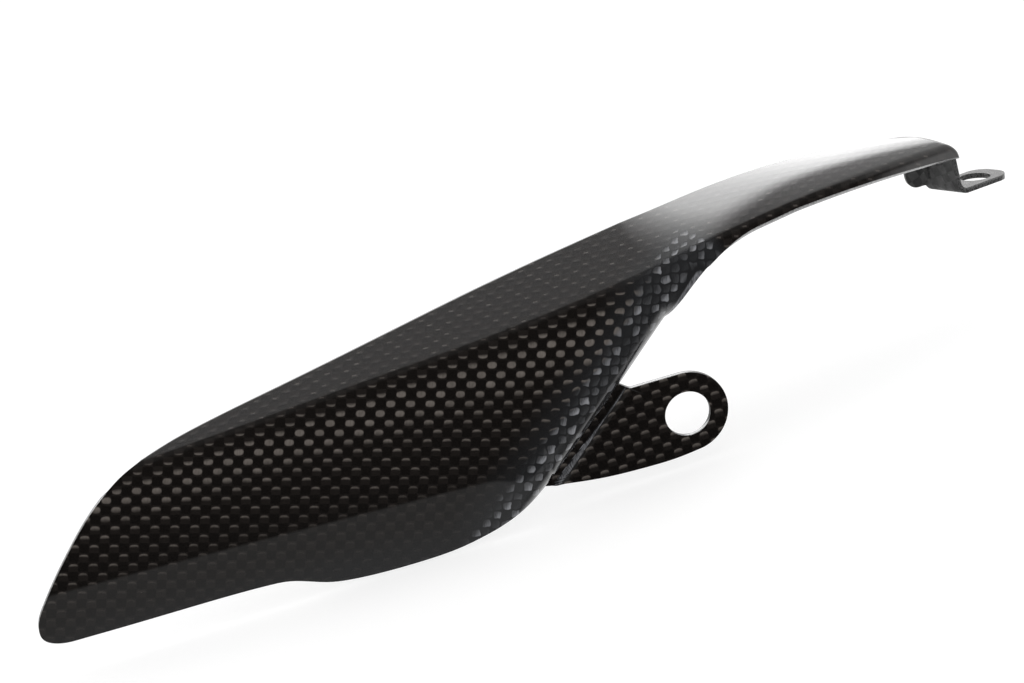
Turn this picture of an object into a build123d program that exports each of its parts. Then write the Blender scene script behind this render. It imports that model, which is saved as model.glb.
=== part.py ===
"""Motorcycle chain guard, moulded in one piece from carbon-fibre fabric.

X runs forward along the crease, Y points inward to the wheel, Z points up.
The origin is the centre of the rear ear's hole, on the ear's outer face.
"""
import os
from math import acos, asin, ceil, cos, degrees, radians, sin, sqrt, tan

from build123d import *

# Laminate and bends
wall = 1.2
crease_radius = 4.0
roll_radius = 8.0
crown_radius = 220.0
crown_height = 12.0

# Plan of the outer face: straight tail, swept panel, swept arm
ear_offset = 6.2
apex_x = -31.0
tail_toe = 4.5
panel_sweep_radius = 175.0
arm_root_x = 14.0
arm_sweep_radius = 600.0

# Crease and flange
crease_height = 33.8
crease_slope = 3.0
arch_x = 10.0
arch_radius = 275.0
flange_rise = 12.0
flange_rise_end = 4.0

# Front edge, seen from the side: straight slope, bend, then the arm's gentle fall
front_edge_height = 22.1
front_edge_slope = 39.5
front_bend_x = 6.0
front_edge_radius = 31.0
arm_edge_radius = 600.0
arm_edge_fall = 0.38

# Trimmed outline of the side panel, seen from the side
tail_x = -141.7
tail_z = 3.2
tail_lean = 54.5
tail_bow_x = -128.3
tail_bow_z = 18.9
tail_top_x = -112.4
tail_top_z = 28.3
tail_top_lean = 14.0
tail_corner_x = -143.6
tail_corner_z = -1.1
tail_corner_length = 6.6
lower_edge_z = -4.95
lower_edge_fall = 0.95
step_start_x = -97.0
step_x = -87.0
step_z = -7.9
step_end_x = -81.0
step_end_z = -9.95
belly_x = -64.0
belly_z = -11.1
belly_rise_x = -46.0
belly_rise_z = -8.85
belly_end_x = -38.5
belly_end_z = -6.5
belly_lean = 30.0
ear_root_x = -32.0

# Inner edge of the flange, seen from above: a straight taper, then a bow over the arm
inner_edge_y = 20.9
inner_edge_taper = 7.85
inner_ease_x = -100.0
inner_end_y = 4.2
inner_bow_x = 30.0
inner_bow_width = 23.2
arm_width = 13.0
arm_corner_radius = 3.0
near_corner_radius = 3.0
near_clearance = 0.6

# Rear ear
ear_hole = 10.0
ear_radius = 9.0
ear_rise = 0.3
ear_tilt = 2.6
ear_turn = 10.0
ear_bow_x = -12.0
ear_bow_z = -8.7
ear_root_z = -5.9
ear_root_lean = 11.6
ear_bury = 1.0
notch_radius = 1.8
notch_reach = 8.0

# Arm end, web and front tongue
arm_end_x = 77.8
arm_heading = 28.0
web_near = 2.8
web_far = 0.2
web_height = 9.9
skirt_height = 9.3
skirt_return = 5.0
skirt_corner = 2.6
tongue_length = 16.6
tongue_dip = 9.5
tongue_hole = 7.0
tongue_hole_setback = 6.8
tongue_corner = 4.0
bend_radius = 2.0

reach = 45.0
overrun = 7.0
arm_blend = 12.0
spare_panel = 13.0
least_crown = 0.15
least_roll = 1.5
panel_pitch = 4.0
arm_pitch = 7.0


def outer_face_y(x):
    """Plan curve of the outer face: a straight tail, then two tangent arcs."""
    sweep_start = apex_x - panel_sweep_radius * sin(radians(tail_toe))
    if x < sweep_start:
        start_y = -ear_offset + panel_sweep_radius * (1 - cos(radians(tail_toe)))
        return start_y + (sweep_start - x) * tan(radians(tail_toe))
    panel_end = min(x, arm_root_x)
    y = -ear_offset + panel_sweep_radius - sqrt(panel_sweep_radius**2 - (panel_end - apex_x) ** 2)
    if x > arm_root_x:
        root_sine = (arm_root_x - apex_x) / panel_sweep_radius
        sine = root_sine + (x - arm_root_x) / arm_sweep_radius
        y += arm_sweep_radius * (sqrt(1 - root_sine**2) - sqrt(1 - sine**2))
    return y


def crease_z(x):
    """Height of the crease: a straight slope that arches over into the arm."""
    z = crease_height + tan(radians(crease_slope)) * min(x, arch_x)
    if x > arch_x:
        start = sin(radians(crease_slope))
        end = start - (x - arch_x) / arch_radius
        z += arch_radius * (sqrt(1 - end**2) - sqrt(1 - start**2))
    return z


def front_edge_z(x):
    """Height of the front edge: a slope, an arc to level, then the arm's fall."""
    slope = tan(radians(front_edge_slope))
    if x < front_bend_x:
        return max(front_edge_height + x * slope, belly_z - spare_panel)
    level_x = front_bend_x + front_edge_radius * sin(radians(front_edge_slope))
    top_z = front_edge_height + front_bend_x * slope
    top_z += front_edge_radius * (1 - cos(radians(front_edge_slope)))
    if x < level_x:
        return top_z - front_edge_radius + sqrt(front_edge_radius**2 - (level_x - x) ** 2)
    return top_z - arm_edge_radius + sqrt(arm_edge_radius**2 - (x - level_x) ** 2)


def rise_at(x):
    """Inward rise of the flange, easing off along the arm."""
    share = min(max(x / arm_end_x, 0), 1)
    return flange_rise + (flange_rise_end - flange_rise) * share


def bends_at(x):
    """Crease start, flange rise, and the crease, crown and roll as (radius, turn) bends."""
    rise = rise_at(x)
    bend_end_z = crease_z(x) - crease_radius * tan(radians(40))
    lean = degrees(asin((bend_end_z - crown_height) / crown_radius))
    bend_end_y = outer_face_y(x) + crown_radius * (1 - cos(radians(lean)))
    start_y = bend_end_y + crease_radius * (cos(radians(lean)) - sin(radians(rise)))
    start_z = bend_end_z + crease_radius * (cos(radians(rise)) - sin(radians(lean)))
    turn = 90 - lean - rise
    edge_z = front_edge_z(x)
    depth = max(wall - outer_face_y(x), 0)
    roll = degrees(acos(max(1 - depth / roll_radius, 0)))
    roll_z = edge_z + roll_radius * sin(radians(roll))
    crown = lean - degrees(asin((roll_z - crown_height) / crown_radius))
    if crown < least_crown:
        crown = least_crown
        drop = bend_end_z - edge_z
        roll = degrees(asin(min(max(drop, 0) / roll_radius, 1)))
        if drop < 0:
            fall = max((start_z - edge_z) / crease_radius, arm_edge_fall * x / arm_end_x)
            turn = min(turn, degrees(acos(cos(radians(rise)) - fall)) - rise)
    bends = (crease_radius, turn), (crown_radius, crown), (roll_radius, max(roll, least_roll))
    return start_y, start_z, rise, bends


def sheet_z(x, y, depth):
    """Height of the flange or its bend at (x, y), at a depth under the outer face."""
    start_y, start_z, rise, bends = bends_at(x)
    centre_y = start_y + crease_radius * sin(radians(rise))
    centre_z = start_z - crease_radius * cos(radians(rise))
    radius = crease_radius - depth
    flat_y = centre_y - radius * sin(radians(rise))
    if y < flat_y:
        return centre_z + sqrt(radius**2 - (y - centre_y) ** 2)
    return centre_z + radius * cos(radians(rise)) + (y - flat_y) * tan(radians(rise))


def spread(start, end, pitch):
    """Evenly spaced stations from start to end, no further apart than the pitch."""
    count = ceil((end - start) / pitch)
    return [start + (end - start) * step / count for step in range(count + 1)]


stations = [tail_x - overrun, step_start_x]
stations += spread(step_end_x, arm_root_x + arm_blend, panel_pitch)
stations += spread(arm_root_x + arm_blend, arm_end_x + overrun, arm_pitch)[1:]

with BuildPart() as chain_guard:
    for x in stations:
        start_y, start_z, rise, bends = bends_at(x)
        inward = (cos(radians(rise)), sin(radians(rise)))
        with BuildSketch(Plane(origin=(x, 0, 0), x_dir=(0, 1, 0), z_dir=(1, 0, 0))):
            with BuildLine():
                ends = []
                for inset in (0, wall):
                    bend_y = start_y + inset * inward[1]
                    bend_z = start_z - inset * inward[0]
                    far = (bend_y + reach * inward[0], bend_z + reach * inward[1])
                    sheet = Line(far, (bend_y, bend_z))
                    ends.append(sheet @ 0)
                    for radius, turn in bends:
                        sheet = JernArc(sheet @ 1, sheet % 1, radius - inset, turn)
                    ends.append(sheet @ 1)
                Line(ends[0], ends[2])
                Line(ends[1], ends[3])
            make_face()
    loft(ruled=True)

    # Skirt under the arm end: a web across it and a short return along its inner edge
    end_side = (-sin(radians(arm_heading)), cos(radians(arm_heading)))
    across = Vector(end_side[0], end_side[1], 0)
    forward = Vector(end_side[1], -end_side[0], 0)
    end_y = outer_face_y(arm_end_x)
    tip_x = arm_end_x + arm_width * end_side[0]
    tip_y = end_y + arm_width * end_side[1]
    buried = []
    for share in (0, 0.1, 0.2, 0.4, 1):
        offset = web_near + (arm_width - web_near) * share
        x = arm_end_x + offset * end_side[0]
        buried.append((offset, sheet_z(x, end_y + offset * end_side[1], wall / 2)))
    web_top = buried[0][1]
    bend_z = web_top - web_height + bend_radius
    skirt_z = web_top - skirt_height
    tongue_far = arm_width - web_far
    web_width = tongue_far - web_near
    with BuildSketch(Plane(origin=(arm_end_x, end_y, 0), x_dir=across, z_dir=forward)):
        with BuildLine():
            Polyline(
                *buried,
                (arm_width, skirt_z),
                (tongue_far, skirt_z),
                (tongue_far, bend_z),
                (web_near, bend_z),
                buried[0],
            )
        make_face()
    extrude(amount=-wall)
    return_x = tip_x - skirt_return
    with BuildSketch(Plane(origin=(0, tip_y, 0), x_dir=(1, 0, 0), z_dir=(0, -1, 0))):
        with BuildLine():
            tops = [(x, sheet_z(x, tip_y, wall / 2)) for x in (return_x, tip_x)]
            Polyline(*tops, (tip_x, skirt_z), (return_x, skirt_z), tops[0])
        make_face()
        fillet(vertices().sort_by_distance((return_x, skirt_z))[0], skirt_corner)
    extrude(amount=wall)

    # Side outline: swept tail, rounded corner, lower edge with its step and belly
    with BuildSketch(Plane.XZ):
        with BuildLine():
            tail = Spline(
                (tail_x, tail_z),
                (tail_bow_x, tail_bow_z),
                (tail_top_x, tail_top_z),
                tangents=[
                    (cos(radians(tail_lean)), sin(radians(tail_lean))),
                    (cos(radians(tail_top_lean)), sin(radians(tail_top_lean))),
                ],
            )
            lower_run = (cos(radians(lower_edge_fall)), -sin(radians(lower_edge_fall)))
            corner_end_x = tail_corner_x + tail_corner_length
            step_start_z = lower_edge_z - tan(radians(lower_edge_fall)) * (step_start_x - corner_end_x)
            corner = Spline(
                (tail_x, tail_z),
                (tail_corner_x, tail_corner_z),
                (corner_end_x, lower_edge_z),
                tangents=[(-cos(radians(tail_lean)), -sin(radians(tail_lean))), lower_run],
            )
            low = Line(corner @ 1, (step_start_x, step_start_z))
            belly = Spline(
                low @ 1,
                (step_x, step_z),
                (step_end_x, step_end_z),
                (belly_x, belly_z),
                (belly_rise_x, belly_rise_z),
                (belly_end_x, belly_end_z),
                tangents=[lower_run, (cos(radians(belly_lean)), sin(radians(belly_lean)))],
            )
            belly_run = (ear_root_x - belly_end_x) * tan(radians(belly_lean))
            Polyline(
                belly @ 1,
                (ear_root_x, belly_end_z + belly_run),
                (ear_root_x, -reach),
                (arm_end_x + reach, -reach),
                (arm_end_x + reach, 2 * reach),
                (tail_top_x, 2 * reach),
                tail @ 1,
            )
        make_face()
    extrude(amount=2 * reach, both=True, mode=Mode.INTERSECT)

    # Plan outline: inner edge of the flange, then the rounded end of the arm
    with BuildSketch(Plane.XY):
        with BuildLine():
            taper_start_y = inner_edge_y + inner_ease_x * tan(radians(inner_edge_taper))
            taper = Line((inner_ease_x, taper_start_y), (0, inner_edge_y))
            ease = TangentArc(taper @ 0, (tail_top_x, inner_end_y), tangent=(taper % 0) * -1)
            bow = Spline(
                taper @ 1,
                (inner_bow_x, outer_face_y(inner_bow_x) + inner_bow_width),
                (tip_x, tip_y),
                tangents=[taper % 1, (1, 0)],
            )
            near_x = arm_end_x - near_clearance * end_side[0]
            near_y = end_y - near_clearance * end_side[1]
            near_slope = (end_y - outer_face_y(arm_end_x - wall)) / wall
            back_x = tail_x - reach
            Polyline(
                bow @ 1,
                (near_x, near_y),
                (back_x, near_y + near_slope * (back_x - near_x)),
                (back_x, inner_end_y),
                ease @ 1,
            )
        make_face()
        fillet(vertices().sort_by_distance((tip_x, tip_y))[0], arm_corner_radius)
        fillet(vertices().sort_by_distance((near_x, near_y))[0], near_corner_radius)
    extrude(amount=2 * reach, both=True, mode=Mode.INTERSECT)

    # Rear ear: a flat plate with a round end, its root buried in the rolled front edge
    slope = radians(front_edge_slope)
    edge_run = (cos(slope), sin(slope))

    def on_edge(x, z, run_x, run_z, bury):
        """Point where a line meets the front edge, buried that far under it."""
        gap = front_edge_height + bury / cos(slope) + x * tan(slope) - z
        run = gap / (run_z - run_x * tan(slope))
        return x + run * run_x, z + run * run_z

    def round_end(turn):
        """Point on the ear's round end, at an angle from straight up, clockwise."""
        return ear_radius * sin(radians(turn)), ear_rise + ear_radius * cos(radians(turn))

    upper = round_end(ear_tilt)
    lower = round_end(180 - ear_turn)
    upper_run = (-cos(radians(ear_tilt)), sin(radians(ear_tilt)))
    notch = on_edge(*upper, *upper_run, wall / 4)
    far = on_edge(*upper, *upper_run, ear_bury)
    root = on_edge(ear_bow_x, ear_root_z, -1, 0, ear_bury)
    with BuildSketch(Plane.XZ):
        with BuildLine():
            Spline(
                lower,
                (ear_bow_x, ear_bow_z),
                root,
                tangents=[
                    (-cos(radians(ear_turn)), -sin(radians(ear_turn))),
                    (-cos(radians(ear_root_lean)), sin(radians(ear_root_lean))),
                ],
            )
            Polyline(
                root,
                (far[0] + notch_reach * edge_run[0], far[1] + notch_reach * edge_run[1]),
                (notch[0] + notch_reach * edge_run[0], notch[1] + notch_reach * edge_run[1]),
                notch,
                upper,
            )
            ThreePointArc(upper, round_end(90), lower)
        make_face()
        fillet(vertices().sort_by_distance(notch)[0], notch_radius)
        Circle(ear_hole / 2, mode=Mode.SUBTRACT)
    extrude(amount=-wall)

    # The web bends forward into the tongue
    web_start = Vector(arm_end_x, end_y, web_top) + across * web_near
    web_plane = Plane(origin=web_start, x_dir=forward, z_dir=-across)
    dip = radians(tongue_dip)
    with BuildSketch(web_plane):
        with BuildLine():
            tips = []
            for inset in (0, wall):
                web = Line((-inset, -wall), (-inset, -web_height + bend_radius))
                bend = JernArc(web @ 1, web % 1, bend_radius + inset, 90 - tongue_dip)
                run = tongue_length / cos(dip) - bend_radius
                tongue = Line(bend @ 1, bend @ 1 + (bend % 1) * run)
                tips.append(tongue @ 1)
            Line((0, -wall), (-wall, -wall))
            Line(tips[0], tips[1])
        make_face()
    extrude(amount=-web_width)
    tip = web_plane.from_local_coords((tips[0] + tips[1]) / 2)
    fillet(edges().sort_by_distance(tip)[0], tongue_corner)
    fillet(edges().sort_by_distance(tip + across * web_width)[0], tongue_corner)

    # Hole through the tongue
    tongue_run = forward * cos(dip) - Vector(0, 0, sin(dip))
    hole_centre = tip + across * (web_width / 2) - tongue_run * tongue_hole_setback
    with BuildSketch(Plane(origin=hole_centre, x_dir=tongue_run, z_dir=tongue_run.cross(across))):
        Circle(tongue_hole / 2)
    extrude(amount=2 * wall, both=True, mode=Mode.SUBTRACT)

os.makedirs("parts", exist_ok=True)
chain_guard.part.label = "chain_guard"
export_step(chain_guard.part, "parts/chain_guard.step")
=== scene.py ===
import bpy
import numpy as np
from mathutils import Matrix, Vector


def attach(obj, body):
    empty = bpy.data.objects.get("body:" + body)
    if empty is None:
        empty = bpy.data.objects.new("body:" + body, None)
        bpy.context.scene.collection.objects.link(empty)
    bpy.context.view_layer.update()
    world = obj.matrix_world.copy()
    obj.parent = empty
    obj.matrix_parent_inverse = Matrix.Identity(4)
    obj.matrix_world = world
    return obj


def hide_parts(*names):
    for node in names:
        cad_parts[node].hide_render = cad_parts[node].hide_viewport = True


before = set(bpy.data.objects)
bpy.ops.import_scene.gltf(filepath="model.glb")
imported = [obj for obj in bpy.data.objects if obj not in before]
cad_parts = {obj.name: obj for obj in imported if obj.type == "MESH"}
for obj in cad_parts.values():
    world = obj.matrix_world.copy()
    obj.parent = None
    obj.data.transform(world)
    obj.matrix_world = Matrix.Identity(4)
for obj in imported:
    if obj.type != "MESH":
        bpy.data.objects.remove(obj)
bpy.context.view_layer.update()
scene = bpy.context.scene
scene.view_settings.view_transform = "Standard"
mm = 0.001
halvings = 40  # steps of each search by halving
tiltSpan, rimSpan = 200.0, 50.0  # degrees and millimetres that the "lie" map spreads from 0 to 1
print("frame loaded")

# Guard: millimetres and degrees, as in the CAD source down to the arm's corners; what follows them is finish
guard = {
    "wall": 1.2, "creaseRadius": 4.0, "rollRadius": 8.0, "crownRadius": 220.0, "crownHeight": 12.0,
    "earOffset": 6.2, "apexX": -31.0, "tailToe": 4.5, "panelSweep": 175.0, "armRootX": 14.0, "armSweep": 600.0,
    "creaseHeight": 33.8, "creaseSlope": 3.0, "creaseHalfTurn": 40.0, "archX": 10.0, "archRadius": 275.0,
    "flangeRise": 12.0, "flangeRiseEnd": 4.0, "firstLength": -3.0, "lastLength": 75.0,
    "frontHeight": 22.1, "frontSlope": 39.5, "frontBendX": 6.0, "frontRadius": 31.0, "frontFloor": -24.1,
    "armEdgeRadius": 600.0, "armEdgeFall": 0.38, "leastCrown": 0.15, "leastRoll": 1.5,
    "armEndX": 77.8, "armWidth": 13.0, "armHeading": 28.0,
    "farCorner": 3.0, "nearCorner": 3.0, "nearClearance": 0.6,
    "endRound": 1.7, "endSink": 0.62, "armCrown": 0.5, "armCrownX": -8.0, "armCrownRun": 52.0,
    # past slantX and roundX, these entries set where the painted reflection by the rolled edge and the painted glints
    # end on the arm
    "slantX": 46.0, "roundX": 66.0, "paintedReflectionEndX": 9.0, "paintedReflectionRun": 18.0,
    "dotEndX": 6.0, "dotRun": 22.0, "dotlessTilt": 75.0, "tow": 2.07, "weaveTurn": 20.6,
}
# Side outline as (x, z) and inner edge as (x, y), through a few points each
outline = {
    "tipX": -143.65, "tipZ": -1.1, "tailX": -141.38, "tailTopX": -112.4, "cornerX": -137.0,
    "tipPower": 0.55, "cornerPower": 0.4,
    "tail": [(-141.38, 4.17), (-138.3, 8.1), (-133.5, 13.6), (-128.4, 18.9), (-122.8, 23.7),
             (-117.6, 26.8), (-112.4, 28.3)],
    "lower": [(-137.0, -4.95), (-127.7, -5.15), (-114.7, -5.32), (-101.7, -5.55), (-95.3, -5.85), (-91.1, -6.4),
              (-87.0, -7.9), (-83.3, -9.35), (-79.0, -10.25), (-72.7, -10.85), (-64.0, -11.1), (-55.1, -10.7),
              (-46.0, -8.85), (-41.0, -7.4), (-38.5, -6.5), (-32.0, -2.9)],
    "inner": [(-112.4, 3.5), (-109.0, 4.75), (-104.5, 6.15), (-100.0, 7.11), (-80.0, 9.87), (-50.0, 14.0),
              (-20.0, 18.14), (0.0, 20.9), (10.0, 22.7), (19.8, 25.05), (30.0, 27.38), (40.0, 29.2), (50.0, 30.55),
              (60.0, 31.5), (66.0, 31.9), (74.0, 32.1), (84.0, 32.1)],
}


def rad(degrees):
    return np.radians(degrees)


def smooth(t):  # 0 to 1 with level ends
    t = np.clip(t, 0, 1)
    return t*t*(3 - 2*t)


def outerFaceY(x):  # plan: straight tail, then two tangent arcs
    g = guard
    toe, sweep, arm = rad(g["tailToe"]), g["panelSweep"], g["armSweep"]
    start = g["apexX"] - sweep*np.sin(toe)
    straight = -g["earOffset"] + sweep*(1 - np.cos(toe)) + (start - x)*np.tan(toe)
    run = np.clip(x, start, g["armRootX"]) - g["apexX"]
    rootSine = (g["armRootX"] - g["apexX"])/sweep
    sine = rootSine + np.maximum(x - g["armRootX"], 0)/arm
    armDrift = arm*(np.sqrt(1 - rootSine**2) - np.sqrt(1 - sine**2))
    swept = -g["earOffset"] + sweep - np.sqrt(sweep**2 - run**2) + armDrift
    return np.where(x < start, straight, swept)


def creaseZ(x):  # straight slope, then an arch
    g = guard
    level = g["creaseHeight"] + np.tan(rad(g["creaseSlope"]))*np.minimum(x, g["archX"])
    sine = np.sin(rad(g["creaseSlope"])) - np.maximum(x - g["archX"], 0)/g["archRadius"]
    return level + g["archRadius"]*(np.sqrt(1 - sine**2) - np.cos(rad(g["creaseSlope"])))


def frontEdgeZ(x):  # slope, arc to level, then the arm's fall
    g = guard
    slope, radius, bendX = rad(g["frontSlope"]), g["frontRadius"], g["frontBendX"]
    levelX = bendX + radius*np.sin(slope)
    topZ = g["frontHeight"] + bendX*np.tan(slope) + radius*(1 - np.cos(slope))
    line = np.maximum(g["frontHeight"] + x*np.tan(slope), g["frontFloor"])
    arc = topZ - radius + np.sqrt(radius**2 - (levelX - np.clip(x, bendX, levelX))**2)
    fall = topZ - g["armEdgeRadius"] + np.sqrt(g["armEdgeRadius"]**2 - np.maximum(x - levelX, 0)**2)
    return np.where(x < bendX, line, np.where(x < levelX, arc, fall))


def bends(x):  # flange start, its rise, and the turns of crease, crown and roll, all arrays over x
    g = guard
    share = np.clip(x/g["armEndX"], 0, 1)
    rise = rad(g["flangeRise"] + (g["flangeRiseEnd"] - g["flangeRise"])*share)
    endZ = creaseZ(x) - g["creaseRadius"]*np.tan(rad(g["creaseHalfTurn"]))
    lean = np.arcsin((endZ - g["crownHeight"])/g["crownRadius"])
    endY = outerFaceY(x) + g["crownRadius"]*(1 - np.cos(lean))
    startY = endY + g["creaseRadius"]*(np.cos(lean) - np.sin(rise))
    startZ = endZ + g["creaseRadius"]*(np.cos(rise) - np.sin(lean))
    turn = np.pi/2 - lean - rise
    edgeZ = frontEdgeZ(x)
    depth = np.maximum(g["wall"] - outerFaceY(x), 0)
    roll = np.arccos(np.maximum(1 - depth/g["rollRadius"], 0))
    rollZ = edgeZ + g["rollRadius"]*np.sin(roll)
    crown = lean - np.arcsin((rollZ - g["crownHeight"])/g["crownRadius"])
    short = crown < rad(g["leastCrown"])
    drop = endZ - edgeZ
    shortRoll = np.arcsin(np.clip(drop/g["rollRadius"], 0, 1))
    fall = np.maximum((startZ - edgeZ)/g["creaseRadius"], g["armEdgeFall"]*share)
    shortTurn = np.minimum(turn, np.arccos(np.clip(np.cos(rise) - fall, -1, 1)) - rise)
    turn = np.where(short & (drop < 0), shortTurn, turn)
    crown = np.where(short, rad(g["leastCrown"]), crown)
    roll = np.maximum(np.where(short, shortRoll, roll), rad(g["leastRoll"]))
    return startY, startZ, rise, turn, crown, roll


def sheet(x, s):  # point and outward normal at arc length s from the flange's start, in the y-z section
    g = guard
    startY, startZ, rise, turn, crown, roll = bends(x)
    y, z, angle, used = startY, startZ, rise, 0*x
    for radius, arc in ((g["creaseRadius"], turn), (g["crownRadius"], crown), (g["rollRadius"], roll)):
        step = np.clip(s - used, 0, radius*arc)/radius
        y = y + radius*(np.sin(angle) - np.sin(angle + step))
        z = z - radius*(np.cos(angle) - np.cos(angle + step))
        angle, used = angle + step, used + radius*arc
    flat, spare = np.minimum(s, 0), np.maximum(s - used, 0)
    y = y - flat*np.cos(rise) - spare*np.cos(angle)
    z = z - flat*np.sin(rise) - spare*np.sin(angle)
    return y, z, -np.sin(angle), np.cos(angle)


def lengthToZ(x, target):  # arc length at which the section falls to a height, by halving
    low, high = np.full_like(x, guard["firstLength"]), np.full_like(x, guard["lastLength"])
    for step in range(halvings):
        middle = (low + high)/2
        above = sheet(x, middle)[1] > target
        low, high = np.where(above, middle, low), np.where(above, high, middle)
    return (low + high)/2


def splineThrough(points, x):  # natural cubic through a few outline points, read at x
    knots = np.array(points, float)
    count, gap = len(knots), np.diff(knots[:, 0])
    system, right = np.eye(count), np.zeros(count)
    for i in range(1, count - 1):
        system[i, i - 1:i + 2] = gap[i - 1], 2*(gap[i - 1] + gap[i]), gap[i]
        right[i] = 6*((knots[i + 1, 1] - knots[i, 1])/gap[i] - (knots[i, 1] - knots[i - 1, 1])/gap[i - 1])
    second = np.linalg.solve(system, right)
    i = np.clip(np.searchsorted(knots[:, 0], x) - 1, 0, count - 2)
    a, b = knots[i + 1, 0] - x, x - knots[i, 0]
    bow = (second[i]*a**3 + second[i + 1]*b**3)/(6*gap[i])
    return bow + (knots[i, 1]/gap[i] - second[i]*gap[i]/6)*a + (knots[i + 1, 1]/gap[i] - second[i + 1]*gap[i]/6)*b


def boundaries(x):  # first and last arc length of the trimmed sheet at each station
    g, o = guard, outline
    startY, _, rise, turn, crown, roll = bends(x)
    inner = -(splineThrough(o["inner"], np.maximum(x, o["tailTopX"])) - startY)/np.cos(rise)
    # tail: a superellipse from the tip, then the swept edge
    tip = np.clip((x - o["tipX"])/(o["tailX"] - o["tipX"]), 0, 1)
    topZ = np.where(x < o["tailX"], o["tipZ"] + (o["tail"][0][1] - o["tipZ"])*tip**o["tipPower"],
                    splineThrough(o["tail"], np.clip(x, o["tailX"], o["tailTopX"])))
    far = np.where(x < o["tailTopX"], np.maximum(lengthToZ(x, topZ), inner), inner)
    # lower edge: a rounded corner, then the step and the belly, then the rolled front edge
    corner = np.clip((x - o["tipX"])/(o["cornerX"] - o["tipX"]), 0, 1)
    cornerZ = o["tipZ"] + (o["lower"][0][1] - o["tipZ"])*(1 - (1 - corner)**2)**o["cornerPower"]
    lowZ = np.where(x < o["cornerX"], cornerZ,
                    splineThrough(o["lower"], np.clip(x, o["cornerX"], o["lower"][-1][0])))
    low = lengthToZ(x, lowZ)
    full = g["creaseRadius"]*turn + g["crownRadius"]*crown + g["rollRadius"]*roll
    near = np.where(x < o["lower"][-1][0], np.minimum(low, full), full)
    return far, near


def makeMesh(name, points, quads, maps, sides, materials):  # arrays into one smooth mesh object
    mesh = bpy.data.meshes.new(name)
    mesh.vertices.add(len(points))
    mesh.vertices.foreach_set("co", (points*mm).astype(np.float32).ravel())
    mesh.loops.add(quads.size)
    mesh.loops.foreach_set("vertex_index", quads.astype(np.int32).ravel())
    mesh.polygons.add(len(quads))
    mesh.polygons.foreach_set("loop_start", np.arange(0, quads.size, 4, dtype=np.int32))
    mesh.polygons.foreach_set("loop_total", np.full(len(quads), 4, np.int32))
    mesh.polygons.foreach_set("material_index", sides.astype(np.int32))
    mesh.polygons.foreach_set("use_smooth", np.ones(len(quads), bool))
    for title, uv in maps.items():
        layer = mesh.uv_layers.new(name=title)
        layer.data.foreach_set("uv", np.concatenate([uv, uv])[quads.ravel()].astype(np.float32).ravel())
    for material in materials:
        mesh.materials.append(material)
    mesh.update(calc_edges=True)
    mesh.validate()
    obj = bpy.data.objects.new(name, mesh)
    scene.collection.objects.link(obj)
    return obj


def shellQuads(rows, columns, closedRows=False):  # outer grid, inner grid and the rims between them
    index = np.arange(rows*columns).reshape(rows, columns)
    if closedRows:
        index = np.vstack([index, index[:1]])
    inner = index + rows*columns
    outerFace = np.stack([index[:-1, :-1], index[:-1, 1:], index[1:, 1:], index[1:, :-1]], -1).reshape(-1, 4)
    innerFace = np.stack([inner[:-1, :-1], inner[1:, :-1], inner[1:, 1:], inner[:-1, 1:]], -1).reshape(-1, 4)
    rims = [(index[:, 0], inner[:, 0]), (index[::-1, -1], inner[::-1, -1])]
    if not closedRows:
        rims += [(index[0, ::-1], inner[0, ::-1]), (index[-1, :], inner[-1, :])]
    rims = np.concatenate([np.stack([a[:-1], a[1:], b[1:], b[:-1]], -1) for a, b in rims])
    quads = np.concatenate([outerFace, innerFace, rims])
    sides = np.repeat([0, 1, 2], [len(outerFace), len(innerFace), len(rims)])
    return quads, sides


class Wire:  # a shader socket that takes part in Python expressions
    def __init__(self, tree, socket):
        self.tree, self.socket = tree, socket

    def node(self, kind, settings=None, **inputs):
        node = self.tree.nodes.new(kind)
        for key, value in (settings or {}).items():
            setattr(node, key, value)
        for key, value in inputs.items():
            numbered = key[0] == "i" and key[1:].isdigit()  # i0 is the first input, and so on
            place = node.inputs[int(key[1:]) if numbered else key.replace("_", " ")]
            if isinstance(value, Wire):
                self.tree.links.new(value.socket, place)
            else:
                place.default_value = value
        return node

    def out(self, kind, settings=None, output=0, **inputs):
        return Wire(self.tree, self.node(kind, settings, **inputs).outputs[output])

    def maths(self, operation, first, second=0.0):
        return self.out("ShaderNodeMath", {"operation": operation}, i0=first, i1=second)

    def __add__(self, other): return self.maths("ADD", self, other)
    def __radd__(self, other): return self.maths("ADD", other, self)
    def __sub__(self, other): return self.maths("SUBTRACT", self, other)
    def __rsub__(self, other): return self.maths("SUBTRACT", other, self)
    def __mul__(self, other): return self.maths("MULTIPLY", self, other)
    def __rmul__(self, other): return self.maths("MULTIPLY", other, self)
    def __truediv__(self, other): return self.maths("DIVIDE", self, other)
    def floor(self): return self.maths("FLOOR", self)
    def fract(self): return self.maths("FRACT", self)
    def mod(self, base): return self.maths("FLOORED_MODULO", self, base)
    def root(self): return self.maths("SQRT", self)
    def size(self): return self.maths("ABSOLUTE", self)
    def least(self, other): return self.maths("MINIMUM", self, other)
    def most(self, other): return self.maths("MAXIMUM", self, other)
    def lift(self, low, high, start=0.0, end=1.0):  # smooth step from low to high
        return self.out("ShaderNodeMapRange", {"interpolation_type": "SMOOTHSTEP"}, Value=self,
                        From_Min=low, From_Max=high, To_Min=start, To_Max=end)
    def pick(self, first, second): return first*(1 - self) + second*self  # first where 0, second where 1
    def tint(self, first, second):  # mix of two colours
        return self.out("ShaderNodeMix", {"data_type": "RGBA"}, output=2, i0=self, i6=first, i7=second)
    def feed(self, shader, name): self.tree.links.new(self.socket, shader.inputs[name])


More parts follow.
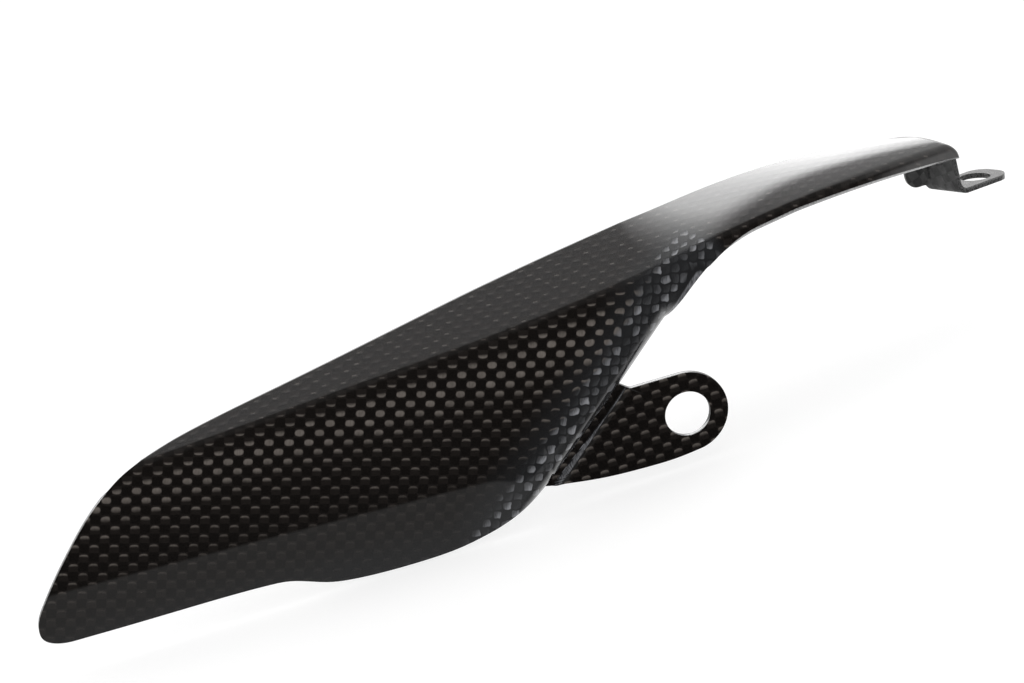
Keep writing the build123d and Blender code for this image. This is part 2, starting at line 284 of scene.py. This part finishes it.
def newMaterial(name):  # an empty material, its Principled shader and a starting wire
    material = bpy.data.materials.new(name)
    material.use_nodes = True
    tree = material.node_tree
    tree.nodes.clear()
    start = Wire(tree, None)
    shader = start.node("ShaderNodeBsdfPrincipled")
    output = start.node("ShaderNodeOutputMaterial")
    tree.links.new(shader.outputs[0], output.inputs[0])
    return material, start, shader


# Weave: pairs are the limits of a smooth step, in degrees of tilt, millimetres to the rim or shares of a cell
# of the colours below, only resin and flatTow are the cloth's own; the other three are painted glints and painted
# reflections
weave = {
    "bow": 4.0, "glint": 3.5, "glintSharp": 1.25, "lag": 0.93, "lagTilt": 4.5, "seatLow": -0.85, "seatHigh": 0.80,
    "squash": 1.32, "square": 0.7, "leanEase": 0.72, "footEdge": (1.06, 0.42),
    "wander": 0.10, "rollWander": 0.6, "wanderScale": 0.8, "streakAcross": 9, "streakAlong": 1.2,
    "paintedReflectionZone": (20.0, 10.0), "dotZone": (9.0, 13.0), "floatStart": (1.8, 3.6), "floatEnd": (13.0, 9.0),
    "paintedEdgeReach": (1.4, 0.8), "lowTilts": (-2.9, 0.2), "lowFade": 0.10, "highTilts": (66.0, 40.0),
    "flangeTilts": (40.0, 65.0), "chanceSpread": 0.3, "chanceBase": 0.75,
    "cheekAcross": 0.6, "cheekUp": 0.5, "cheek": (-0.5, 0.7, 0.2, 1.0), "floatFill": 1.5, "floatEdge": (1.15, 0.3),
    "flatFloat": 0.12, "floatChance": (-0.25, 1.15), "tickUp": 0.5, "tickTall": (0.3, 0.1), "tickWide": (0.35, 0.1),
    "tickStrength": 0.3, "dome": 0.03, "flatDome": 0.4, "flangeDome": 0.6,
    "resin": (0.0125, 0.0103, 0.0092, 1), "flatTow": (0.0062, 0.0050, 0.0044, 1),
    "fibre": (0.172, 0.152, 0.136, 1), "paintedReflectionSlate": (0.0165, 0.0168, 0.0178, 1), "paintedHighlight": (0.32, 0.325, 0.345, 1),
    "baseRough": 0.18, "baseSpecular": 0.045, "coatRough": 0.012, "coatIor": 1.5,
}


def carbonGloss():  # clear-coated plain weave: each cell of the weave map is one float of a tow
    w = weave
    material, start, shader = newMaterial("carbonGloss")
    cloth = start.node("ShaderNodeSeparateXYZ", i0=start.out("ShaderNodeUVMap", {"uv_map": "weave"}))
    lie = start.node("ShaderNodeSeparateXYZ", i0=start.out("ShaderNodeUVMap", {"uv_map": "lie"}))
    tilt = (Wire(start.tree, lie.outputs[0]) - 0.5)*tiltSpan  # degrees that the face looks up
    rim = Wire(start.tree, lie.outputs[1])*rimSpan  # millimetres to the rolled front edge
    # zone is 1 near the rolled front edge, where the painted reflection lies and the tows wander most
    zone = rim.lift(*w["paintedReflectionZone"])
    # the tows wander a little, and more where the cloth is pulled round the roll
    drift = start.node("ShaderNodeTexNoise", {"noise_dimensions": "2D"}, Scale=w["wanderScale"], Detail=1.0,
                       Vector=start.out("ShaderNodeUVMap", {"uv_map": "weave"}))
    sway = start.node("ShaderNodeSeparateXYZ", i0=Wire(start.tree, drift.outputs["Color"]))
    wander = zone.lift(0.0, 1.0, w["wander"], w["rollWander"])
    u, v = (Wire(start.tree, cloth.outputs[i]) + (Wire(start.tree, sway.outputs[i]) - 0.5)*wander for i in (0, 1))
    flat = (u.floor() + v.floor()).mod(2.0)  # 0 on upright tows, 1 on lengthwise tows
    p, q = u.fract()*2 - 1, v.fract()*2 - 1
    cell = start.out("ShaderNodeCombineXYZ", None, i0=u.floor(), i1=v.floor(), i2=0.0)
    chance = start.out("ShaderNodeTexWhiteNoise", {"noise_dimensions": "2D"}, Vector=cell)
    along = start.out("ShaderNodeCombineXYZ", None, i0=u*w["streakAcross"], i1=v*w["streakAlong"], i2=0.0)
    streak = start.out("ShaderNodeTexNoise", {"noise_dimensions": "2D"}, Vector=along, Scale=1.0, Detail=2.0)
    # the bright dots are painted highlights in the base colour: an upright float is taken as a small dome, and its
    # painted glint sits where the dome's own lean makes up for the face's
    low = q*w["squash"]
    wide = p*p*(p*p*w["square"] + (1 - w["square"]))
    foot = (wide + low*low).lift(*w["footEdge"])
    lean = low/(1 - wide*w["leanEase"]).root()
    steep = (tilt - w["lagTilt"]).most(0.0)  # on the crease bend the glints lag behind the turn
    seat = ((w["glint"] - tilt + steep*w["lag"])/w["bow"]).least(w["seatHigh"]).most(w["seatLow"])
    glint = (1 - w["glintSharp"]*(seat.size() - seat*lean)).lift(0.0, 1.0)
    fade = tilt.lift(*w["lowTilts"], w["lowFade"], 1.0)*tilt.lift(*w["highTilts"])
    dot = (1 - flat)*foot*glint*fade*rim.lift(*w["dotZone"])
    dot = dot*streak.lift(0.3, 0.7, 0.7, 1.0)*(chance*w["chanceSpread"] + w["chanceBase"])
    cloths = flat.tint(w["resin"], w["flatTow"])
    # towards the rolled front edge a painted reflection turns the colour slate, and a few rows of floats carry painted
    # highlights
    colour = dot.tint(zone.tint(cloths, w["paintedReflectionSlate"]), w["fibre"])
    cheek = (p*w["cheekAcross"] - q*w["cheekUp"] + streak - 0.5).lift(*w["cheek"])
    paintedHighlight = ((p*p*p*p + q*q*q*q)*w["floatFill"]).lift(*w["floatEdge"])*cheek
    paintedHighlight = paintedHighlight*rim.lift(*w["floatStart"])*rim.lift(*w["floatEnd"])
    paintedHighlight = paintedHighlight*flat.lift(0.0, 1.0, 1.0, w["flatFloat"])*chance.lift(*w["floatChance"])
    colour = paintedHighlight.tint(colour, w["paintedHighlight"])
    paintedEdgeLine = rim.lift(*w["paintedEdgeReach"])*streak.lift(0.25, 0.75, 0.1, 0.7)  # painted highlight line on the edge
    colour = paintedEdgeLine.tint(colour, w["paintedHighlight"])
    # on the flange only short ticks of the upright tows show, as painted highlights
    tick = (1 - flat)*(q + w["tickUp"]).size().lift(*w["tickTall"])*(p*p).lift(*w["tickWide"])
    tick = tick*tilt.lift(*w["flangeTilts"])
    colour = (tick*chance*w["tickStrength"]).tint(colour, w["fibre"])
    colour.feed(shader, "Base Color")
    dome = (1 - p*p)*(1 - q*q)*w["dome"]
    relief = flat.pick(dome, dome*w["flatDome"])*tilt.lift(*w["flangeTilts"], 1.0, w["flangeDome"])
    start.out("ShaderNodeBump", None, Strength=1.0, Distance=mm, Height=relief).feed(shader, "Normal")
    shader.inputs["Roughness"].default_value = w["baseRough"]
    shader.inputs["Specular IOR Level"].default_value = w["baseSpecular"]
    shader.inputs["Coat Weight"].default_value = 1.0
    shader.inputs["Coat Roughness"].default_value = w["coatRough"]
    shader.inputs["Coat IOR"].default_value = w["coatIor"]
    return material


backFace = {
    "upright": 0.042, "lengthwise": 0.068, "speck": 0.16, "speckScale": 420.0, "speckSize": (0.10, 0.02),
    "grainScale": 900.0, "clothRelief": 0.12, "grainRelief": 0.22, "relief": 0.8, "rough": (0.42, 0.68),
}


def grey(value):
    return value, value, value, 1


def carbonBack():  # rough inside face, resin over cloth, with pale specks
    n = backFace
    material, start, shader = newMaterial("carbonBack")
    place = start.out("ShaderNodeTexCoord", None, output=3)
    cloth = start.node("ShaderNodeSeparateXYZ", i0=start.out("ShaderNodeUVMap", {"uv_map": "weave"}))
    u, v = Wire(start.tree, cloth.outputs[0]), Wire(start.tree, cloth.outputs[1])
    flat = (u.floor() + v.floor()).mod(2.0)
    p, q = u.fract()*2 - 1, v.fract()*2 - 1
    grain = start.out("ShaderNodeTexNoise", None, Vector=place, Scale=n["grainScale"], Detail=4.0)
    speck = start.out("ShaderNodeTexVoronoi", None, Vector=place, Scale=n["speckScale"])
    shade = flat.tint(grey(n["upright"]), grey(n["lengthwise"]))
    speck.lift(*n["speckSize"]).tint(shade, grey(n["speck"])).feed(shader, "Base Color")
    height = flat.pick(1 - p*p, 1 - q*q)*n["clothRelief"] + grain*n["grainRelief"]
    start.out("ShaderNodeBump", None, Strength=n["relief"], Distance=mm, Height=height).feed(shader, "Normal")
    grain.lift(0.3, 0.7, *n["rough"]).feed(shader, "Roughness")
    return material


cutEdge = {
    "dark": (0.03, 0.09), "pale": (0.13, 0.34), "grainScale": 2600.0, "rough": (0.22, 0.38),
    "coat": 0.6, "coatRough": 0.1,
}


def carbonEdge(name, dim, bright):  # cut and polished rim of the laminate: faint layers under the coat
    material, start, shader = newMaterial(name)
    place = start.out("ShaderNodeTexCoord", None, output=3)
    grain = start.out("ShaderNodeTexNoise", None, Vector=place, Scale=cutEdge["grainScale"], Detail=3.0)
    grain.lift(0.35, 0.65).tint(grey(dim), grey(bright)).feed(shader, "Base Color")
    grain.lift(0.3, 0.7, *cutEdge["rough"]).feed(shader, "Roughness")
    shader.inputs["Coat Weight"].default_value = cutEdge["coat"]
    shader.inputs["Coat Roughness"].default_value = cutEdge["coatRough"]
    return material


gloss, back = carbonGloss(), carbonBack()
finishes = [gloss, back, carbonEdge("carbonEdge", *cutEdge["dark"])]
# the skin's rim is paler, partly its own cut edge and partly a painted highlight along it
paleEdgeAndHighlightFinishes = [gloss, back, carbonEdge("carbonPaleEdgeAndHighlight", *cutEdge["pale"])]
print("materials made")


def weaveCoords(along, up, turn, shift=200.0):  # the unrolled sheet turned by the cloth's angle, in tows
    c, s = np.cos(rad(turn)), np.sin(rad(turn))
    return np.stack([along*c - up*s, along*s + up*c], -1).reshape(-1, 2)/guard["tow"] + shift


def lieCoords(tilt, rim=rimSpan):  # the angle that a face looks up and the distance to the front edge, from 0 to 1
    return np.stack([tilt/tiltSpan + 0.5, np.clip((rim + 0*tilt)/rimSpan, 0, 1)], -1).reshape(-1, 2)


def shellPoints(outer, inner):  # both grids in one row of points, as shellQuads counts them
    return np.concatenate([outer.reshape(-1, 3), inner.reshape(-1, 3)])


endY = float(outerFaceY(np.array(guard["armEndX"])))
heading = rad(guard["armHeading"])
tipY = endY + guard["armWidth"]*np.cos(heading)


skinGrid = {
    "tipRows": 36, "tipStart": 0.014, "tipToX": -136.0, "fromX": -135.2, "toX": 74.5, "step": 0.85,
    "endRows": 22, "endRun": 3.0, "endPower": 1.6, "across": 126, "settle": 8,
    "fineStart": 0.004, "fineTip": 8.0, "fineTipRows": 400, "fineGap": 0.1, "fineToX": 84.0, "fineRows": 2200,
}


def makeSkin():  # panel, flange and arm: the trimmed sheet, stations along x by arc length across
    g, k = guard, skinGrid
    tip = outline["tipX"]
    stations = np.concatenate([
        tip + (np.linspace(k["tipStart"], 1, k["tipRows"])**2)*(k["tipToX"] - tip),
        np.arange(k["fromX"], k["toX"], k["step"]),
        g["armEndX"] - np.linspace(1, 0, k["endRows"])**k["endPower"]*k["endRun"],
    ])
    base, v = np.meshgrid(stations, np.linspace(0, 1, k["across"]), indexing="ij")
    slant = smooth((base - g["slantX"])/(g["armEndX"] - g["slantX"]))*np.tan(heading)
    rounding = smooth((base - g["roundX"])/(g["armEndX"] - g["roundX"]))
    # both boundaries are worked out once on a fine row and read between its points
    fine = np.concatenate([tip + np.linspace(k["fineStart"], 1, k["fineTipRows"])**2*k["fineTip"],
                           np.linspace(tip + (k["fineTip"] + k["fineGap"]), k["fineToX"], k["fineRows"])])
    fineFar, fineNear = boundaries(fine)
    x = base.copy()
    for step in range(k["settle"]):  # the last stations lean until they lie in the oblique, rounded end
        far, near = np.interp(x, fine, fineFar), np.interp(x, fine, fineNear)
        s = far + v*(near - far)
        y = sheet(x, s)[0]
        overFar = np.clip(y - (tipY - g["farCorner"]), 0, g["farCorner"])
        overNear = np.clip(g["nearCorner"] - g["nearClearance"] - (y - endY)/np.cos(heading), 0, g["nearCorner"])
        cut = g["farCorner"] - np.sqrt(g["farCorner"]**2 - overFar**2)
        cut = cut + g["nearCorner"] - np.sqrt(g["nearCorner"]**2 - overNear**2)
        x = base - slant*(y - endY) - cut*rounding
    y, z, ny, nz = sheet(x, s)
    share = (near - s)/(near - far)
    # the arm is slightly crowned across
    z = z + g["armCrown"]*smooth((x - g["armCrownX"])/g["armCrownRun"])*4*share*(1 - share)
    turn, crown, roll = bends(x)[3:]
    full = g["creaseRadius"]*turn + g["crownRadius"]*crown + g["rollRadius"]*roll
    # rim places the painted reflection by the rolled edge; past the arm's root it is pushed out so that none is
    # painted there
    rim = full - s + rimSpan*smooth((x - g["paintedReflectionEndX"])/g["paintedReflectionRun"])
    # tilt places the painted glints; along the arm it is pushed up so that they fade out
    tilt = np.degrees(np.arcsin(np.clip(nz, -1, 1)))
    tilt = tilt + (g["dotlessTilt"] - tilt)*smooth((x - g["dotEndX"])/g["dotRun"])
    # the outer face rounds down at the arm's end
    over = np.clip(g["endRound"] - (g["armEndX"] - base)*np.cos(heading), 0, g["endRound"])
    sink = (g["endRound"] - np.sqrt(g["endRound"]**2 - over**2))*g["endSink"]
    outer = np.stack([x, y - sink*ny, z - sink*nz], -1)
    inner = np.stack([x, y - g["wall"]*ny, z - g["wall"]*nz], -1)
    length = np.concatenate([[0], np.cumsum(np.hypot(np.diff(stations), np.diff(outerFaceY(stations))))])
    maps = {
        "weave": weaveCoords(np.interp(x, stations, length), g["creaseRadius"]*np.pi/4 - s, g["weaveTurn"]),
        "lie": lieCoords(tilt, rim*np.cos(rad(g["frontSlope"]))),
    }
    quads, sides = shellQuads(*x.shape)
    return makeMesh("guardSkin", shellPoints(outer, inner), quads[:, ::-1], maps, sides, paleEdgeAndHighlightFinishes)


ear = {
    "hole": 5.0, "radius": 9.0, "rise": 0.3, "tilt": 2.6, "bury": 1.15, "notch": 1.8,
    "lower": [(-34.0, -5.2), (-30.0, -6.1), (-26.2, -6.9), (-20.0, -7.95), (-12.0, -8.7), (-5.0, -9.0),
              (0.0, -8.72), (1.6, -8.56)],
    "ridge": 0.55, "ridgeAway": 1.7, "ridgeWide": 0.8, "ridgeLead": 1.5, "ridgeRun": 3.0,
    "weaveTurn": 2.7, "weaveShift": 200.3, "clothTilt": 1.2,
    "edgeHighlightRim": 0.9, "plainRim": 49.0, "edgeHighlightHalf": 0.1, "edgeHighlightSpread": 0.6, "edgeHighlightTop": 7.0, "edgeHighlightRun": 12.0,
    "edgeHighlightFade": 0.5,
    "rays": [(-100, 82, 100), (84, 176, 150), (177, 259, 110)], "reach": 48.0, "rings": 84,
}


def makeEar():  # flat ear: rings from the hole out to the outline, found along each ray by halving
    g, e = guard, ear
    slope, tilt = rad(g["frontSlope"]), rad(e["tilt"])
    topAtHole = e["rise"] + e["radius"]/np.cos(tilt)  # the upper edge's height above the hole
    cornerX = (topAtHole - g["frontHeight"])/(np.tan(slope) + np.tan(tilt))
    cornerZ = g["frontHeight"] + np.tan(slope)*cornerX
    half, aim = (slope + tilt)/2, (slope - tilt)/2  # the notch's circle touches the upper edge and the front edge
    away = e["notch"]/np.sin(half)
    centreX, centreZ = cornerX + away*np.cos(aim), cornerZ + away*np.sin(aim)

    def inside(x, z):
        under = g["frontHeight"] + np.tan(slope)*x + e["bury"]/np.cos(slope)
        near = np.hypot(x - cornerX, z - cornerZ) < away*np.cos(half)
        fillet = near & (np.hypot(x - centreX, z - centreZ) > e["notch"])
        top = (z < topAtHole - x*np.tan(tilt)) | fillet
        low = z > splineThrough(e["lower"], np.clip(x, e["lower"][0][0], e["lower"][-1][0]))
        ball = np.hypot(x, z - e["rise"]) < e["radius"]
        return np.where(x > 0, ball, top & low) & (z < under)
    theta = np.concatenate([np.linspace(*ray) for ray in e["rays"]])  # closer together round the root
    theta = rad(np.unique(np.round(theta, 3)))
    low, high = np.full(theta.shape, e["hole"]), np.full(theta.shape, e["reach"])
    for step in range(halvings):
        middle = (low + high)/2
        ok = inside(middle*np.cos(theta), middle*np.sin(theta))
        low, high = np.where(ok, middle, low), np.where(ok, high, middle)
    radius = e["hole"] + np.linspace(0, 1, e["rings"])[None, :]*(low[:, None] - e["hole"])
    x, z = radius*np.cos(theta)[:, None], radius*np.sin(theta)[:, None]
    # a soft ridge stands along the root, beside the rolled edge, with a painted highlight line that widens downward
    rootAway = (g["frontHeight"] + np.tan(slope)*x - z)*np.cos(slope)
    ridge = e["ridge"]*np.exp(-((rootAway - e["ridgeAway"])/e["ridgeWide"])**2)
    ridge = ridge*smooth((cornerZ + e["ridgeLead"] - z)/e["ridgeRun"])
    edgeHighlightWidth = e["edgeHighlightHalf"] + e["edgeHighlightSpread"]*smooth((e["edgeHighlightTop"] - z)/e["edgeHighlightRun"])
    plain = smooth((np.abs(rootAway - e["ridgeAway"]) - edgeHighlightWidth)/e["edgeHighlightFade"])
    outer = np.stack([x, -ridge, z], -1)
    inner = np.stack([x, 0*x + g["wall"], z], -1)
    maps = {
        "weave": weaveCoords(x, z, e["weaveTurn"], e["weaveShift"]),
        "lie": lieCoords(e["clothTilt"] + 0*x, e["edgeHighlightRim"] + e["plainRim"]*plain),
    }
    quads, sides = shellQuads(*x.shape, closedRows=True)
    return makeMesh("guardEar", shellPoints(outer, inner), quads, maps, sides, finishes)


tongue = {
    "near": 2.8, "far": 0.2, "height": 9.9, "length": 16.6, "dip": 9.5, "hole": 3.5, "setback": 6.8,
    "corner": 4.0, "bend": 2.0, "seam": 0.05, "rays": 241, "reach": 40.0, "rings": 70,
    "skirtHeight": 8.9, "skirtReturn": 5.0, "skirtCorner": 2.6, "skirtLap": 0.6, "skirtRows": 22,
}


def sheetMidZ(x, y):  # height of the flange's middle surface at (x, y), on the flat or on the crease bend
    g = guard
    startY, startZ, rise = bends(x)[:3]
    centreY, centreZ = startY + g["creaseRadius"]*np.sin(rise), startZ - g["creaseRadius"]*np.cos(rise)
    radius = g["creaseRadius"] - g["wall"]/2
    flatY = centreY - radius*np.sin(rise)
    bendZ = centreZ + np.sqrt(np.maximum(radius**2 - (y - centreY)**2, 0))
    return np.where(y < flatY, bendZ, centreZ + radius*np.cos(rise) + (y - flatY)*np.tan(rise))


def alongEnd(offset):  # point of the arm's end at a distance from its near corner
    return guard["armEndX"] - offset*np.sin(heading), endY + offset*np.cos(heading)


webTop = float(sheetMidZ(*alongEnd(np.array(tongue["near"]))))


def makeTongue():  # web, bend and tongue: one flat sheet with a hole, bent along its length
    g, t = guard, tongue
    dip = rad(t["dip"])
    width = g["armWidth"] - t["far"] - t["near"]
    forward = np.array([np.cos(heading), np.sin(heading), 0])
    side = np.array([-np.sin(heading), np.cos(heading), 0])
    webRun = t["height"] - t["bend"]
    turn = np.pi/2 - dip
    bendRun = t["bend"]*turn
    total = webRun + bendRun + t["length"]/np.cos(dip) - t["bend"]
    holeP, holeW = total - t["setback"], width/2

    def inside(p, w):
        top = webTop - sheetMidZ(*alongEnd(t["near"] + np.clip(w, 0, width)))
        cornerP = total - t["corner"]
        aside = np.maximum(t["corner"] - np.minimum(w, width - w), 0)
        rounded = (p < cornerP) | (np.hypot(p - cornerP, aside) < t["corner"])
        return (w > 0) & (w < width) & (p < total) & (p > top + t["seam"]) & rounded
    corners = [np.arctan2(w - holeW, -holeP) for w in (0, width)]
    theta = np.unique(np.concatenate([np.linspace(-np.pi, np.pi, t["rays"])[:-1], corners]))
    low, high = np.full(theta.shape, t["hole"]), np.full(theta.shape, t["reach"])
    for step in range(halvings):
        middle = (low + high)/2
        ok = inside(holeP + middle*np.cos(theta), holeW + middle*np.sin(theta))
        low, high = np.where(ok, middle, low), np.where(ok, high, middle)
    radius = t["hole"] + np.linspace(0, 1, t["rings"])[None, :]*(low[:, None] - t["hole"])
    p, w = holeP + radius*np.cos(theta)[:, None], holeW + radius*np.sin(theta)[:, None]
    # carried along web, bend and tongue: u forward, h up
    a = np.clip((p - webRun)/t["bend"], 0, turn)
    flat = np.maximum(p - webRun - bendRun, 0)
    u = t["bend"]*(1 - np.cos(a)) + flat*np.cos(dip)
    h = -np.minimum(p, webRun) - t["bend"]*np.sin(a) - flat*np.sin(dip)
    start = np.array([*alongEnd(t["near"]), webTop])

    def place(u, h):
        return start + u[..., None]*forward + w[..., None]*side + h[..., None]*np.array([0, 0, 1])
    outer, inner = place(u, h), place(u - g["wall"]*np.cos(a), h - g["wall"]*np.sin(a))
    maps = {"weave": weaveCoords(p, w, g["weaveTurn"]), "lie": lieCoords(np.degrees(a))}
    quads, sides = shellQuads(*p.shape, closedRows=True)
    return makeMesh("guardTongue", shellPoints(outer, inner), quads[:, ::-1], maps, sides, finishes)


def makeSkirt():  # skirt round the arm's far corner: a plan path of web, corner arc and return, carried downward
    g, t = guard, tongue
    radius, turn = g["farCorner"], np.pi/2 - heading
    lead = radius*np.tan(turn/2)  # from the sharp corner to where its arc starts
    arcRun, webRun = radius*turn, t["far"] + t["skirtLap"]
    path = np.concatenate([np.linspace(0, webRun, 4)[:-1], webRun + np.linspace(0, arcRun, 14)[:-1],
                           webRun + arcRun + np.linspace(0, t["skirtReturn"] - lead, 26)])
    arc = np.clip(path - webRun, 0, arcRun)/radius
    straight = np.minimum(path, webRun) - webRun
    home = np.maximum(path - webRun - arcRun, 0)
    startX, startY = alongEnd(np.array(g["armWidth"] - lead))
    face = heading + arc  # the outward normal turns from forward to inward
    x = startX - straight*np.sin(heading) - radius*np.cos(heading) + radius*np.cos(face) - home
    y = startY + straight*np.cos(heading) - radius*np.sin(heading) + radius*np.sin(face)
    nx, ny = np.cos(face), np.sin(face)
    left = home.max() - home
    short = np.maximum(t["skirtCorner"] - left, 0)
    lift = t["skirtCorner"] - np.sqrt(np.maximum(t["skirtCorner"]**2 - short**2, 0))
    top = sheetMidZ(x, y)
    low = webTop - t["skirtHeight"] + lift
    v = np.linspace(0, 1, t["skirtRows"])[None, :]
    z = top[:, None] + (low - top)[:, None]*v
    outer = np.stack([x[:, None] + 0*z, y[:, None] + 0*z, z], -1)
    inner = outer - np.stack([nx, ny, 0*nx], -1)[:, None, :]*g["wall"]
    maps = {"weave": weaveCoords(path[:, None] + 0*z, z, g["weaveTurn"]), "lie": lieCoords(0*z)}
    quads, sides = shellQuads(*z.shape)
    return makeMesh("guardSkirt", shellPoints(outer, inner), quads[:, ::-1], maps, sides, finishes)


rimBevel = {"width": 0.28, "segments": 2, "angle": 50}
pieces = [makeSkin(), makeEar(), makeTongue(), makeSkirt()]
for piece in pieces:
    bevel = piece.modifiers.new("rim", "BEVEL")
    bevel.width, bevel.segments = rimBevel["width"]*mm, rimBevel["segments"]
    bevel.limit_method, bevel.angle_limit = "ANGLE", rad(rimBevel["angle"])
    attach(piece, "root")
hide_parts("chain_guard")
print("pieces built:", [len(piece.data.polygons) for piece in pieces])

# Camera: solved from the photograph, 100 mm lens on a 36 mm sensor
view = {"place": (-98.84, -545.85, 244.82), "lens": 100.0, "sensor": 36.0,
        "across": (-0.217, 0.316, -0.924), "length": (0.942, 0.316, -0.113)}
yAxis = Vector(view["across"]).normalized()
xAxis = Vector(view["length"])
xAxis = (xAxis - yAxis*xAxis.dot(yAxis)).normalized()
camera = bpy.data.cameras.new("camera")
camera.lens, camera.sensor_width = view["lens"], view["sensor"]
camera.clip_start, camera.clip_end = 0.01, 20
cameraObject = bpy.data.objects.new("camera", camera)
scene.collection.objects.link(cameraObject)
turnBack = Matrix((xAxis, yAxis, xAxis.cross(yAxis)))
cameraObject.matrix_world = Matrix.Translation(Vector(view["place"])*mm) @ turnBack.to_4x4()
scene.camera = cameraObject

# Studio: white floor, soft lamp, and the room that glossy faces see; pairs are limits of a direction's part
studio = {
    "floorZ": -11.7, "floorSize": 4.0, "floorGlow": 0.70, "floorShade": 0.35, "floorPaper": 0.9, "floorRough": 0.9,
    "daylight": 0.75, "dark": 0.03, "behindY": (-0.2, 0.2),
    "tableGlow": 0.38, "tableEdge": -0.501, "tableSoft": 0.004, "tableSlant": 0.29, "tableFade": (0.5, 0.2, 0.15, 1.0),
    "backGlow": 0.34, "backTop": (0.82, 0.73), "backSpread": (0.20, 0.34, 1.0, 2.2),
    "zenith": 0.10, "zenithFoot": (0.70, 0.85),
    "horizon": 3.8, "horizonTop": (0.70, 0.60), "horizonSlant": 1.7, "horizonCut": (1.10, 1.00),
    "horizonFoot": (0.12, 0.19), "horizonSpread": (0.33, 0.42, 1.0, 0.42),
    "sideGlow": 1.5, "sideX": (0.70, 0.82), "sideFoot": (-0.35, -0.05),
    "lampPlace": (0.1, 0.2, 1.6), "lampSize": 1.2, "lampPower": 9.0,
}


def makeFloor():  # pale paper: its own glow for the camera keeps it white beside the soft shadow
    half, z = studio["floorSize"]/2, studio["floorZ"]*mm
    mesh = bpy.data.meshes.new("floor")
    mesh.from_pydata([(-half, -half, z), (half, -half, z), (half, half, z), (-half, half, z)], [], [(0, 1, 2, 3)])
    material, start, shader = newMaterial("floorPaper")
    path = start.node("ShaderNodeLightPath")
    seen = Wire(start.tree, path.outputs["Is Camera Ray"])
    seen.tint(grey(studio["floorPaper"]), grey(studio["floorShade"])).feed(shader, "Base Color")
    seen.tint(grey(0), grey(1)).feed(shader, "Emission Color")
    shader.inputs["Emission Strength"].default_value = studio["floorGlow"]
    shader.inputs["Roughness"].default_value = studio["floorRough"]
    mesh.materials.append(material)
    floor = bpy.data.objects.new("floor", mesh)
    scene.collection.objects.link(floor)
    floor.visible_glossy = False


def makeWorld():  # white for the camera and soft light; glossy faces see a table, a dark room and bright walls
    r = studio
    world = bpy.data.worlds.new("studio")
    scene.world = world
    world.use_nodes = True
    tree = world.node_tree
    tree.nodes.clear()
    start = Wire(tree, None)
    place = start.out("ShaderNodeTexCoord", None, output=0)
    split = start.node("ShaderNodeSeparateXYZ", i0=place)
    x, y, z = (Wire(tree, split.outputs[i]) for i in range(3))
    edge, soft = r["tableEdge"], r["tableSoft"]
    table = (z + x*r["tableSlant"]).lift(edge + soft, edge - soft)*x.lift(*r["tableFade"])
    behind = y.lift(*r["behindY"])
    upper = z.lift(*r["backTop"])*r["backGlow"]*x.lift(*r["backSpread"]) + z.lift(*r["zenithFoot"])*r["zenith"]
    horizon = z.lift(*r["horizonTop"])*(z + x*r["horizonSlant"]).lift(*r["horizonCut"])
    horizon = horizon*z.lift(*r["horizonFoot"])*x.lift(*r["horizonSpread"])*r["horizon"]
    side = x.lift(*r["sideX"])*z.lift(*r["sideFoot"])*r["sideGlow"]
    glow = r["dark"] + table*r["tableGlow"] + behind*(upper + horizon) + (1 - behind)*side
    path = start.node("ShaderNodeLightPath")
    glossy, seen = (Wire(tree, path.outputs[name]) for name in ("Is Glossy Ray", "Is Camera Ray"))
    strength = glossy.pick(seen.pick(r["daylight"], 1.0), glow)
    background = start.node("ShaderNodeBackground", None, Color=(1, 1, 1, 1), Strength=strength)
    output = start.node("ShaderNodeOutputWorld")
    tree.links.new(background.outputs[0], output.inputs[0])


def areaLamp(name, place, aim, size, power):  # a square soft lamp turned to a point, unseen in the gloss
    light = bpy.data.lights.new(name, "AREA")
    light.shape, light.size, light.energy = "SQUARE", size, power
    lamp = bpy.data.objects.new(name, light)
    lamp.location = place
    lamp.rotation_euler = (Vector(aim) - Vector(place)).to_track_quat("-Z", "Y").to_euler()
    lamp.visible_glossy = False
    scene.collection.objects.link(lamp)


makeFloor()
makeWorld()
areaLamp("overhead", studio["lampPlace"], (0, 0, 0), studio["lampSize"], studio["lampPower"])
print("studio built")
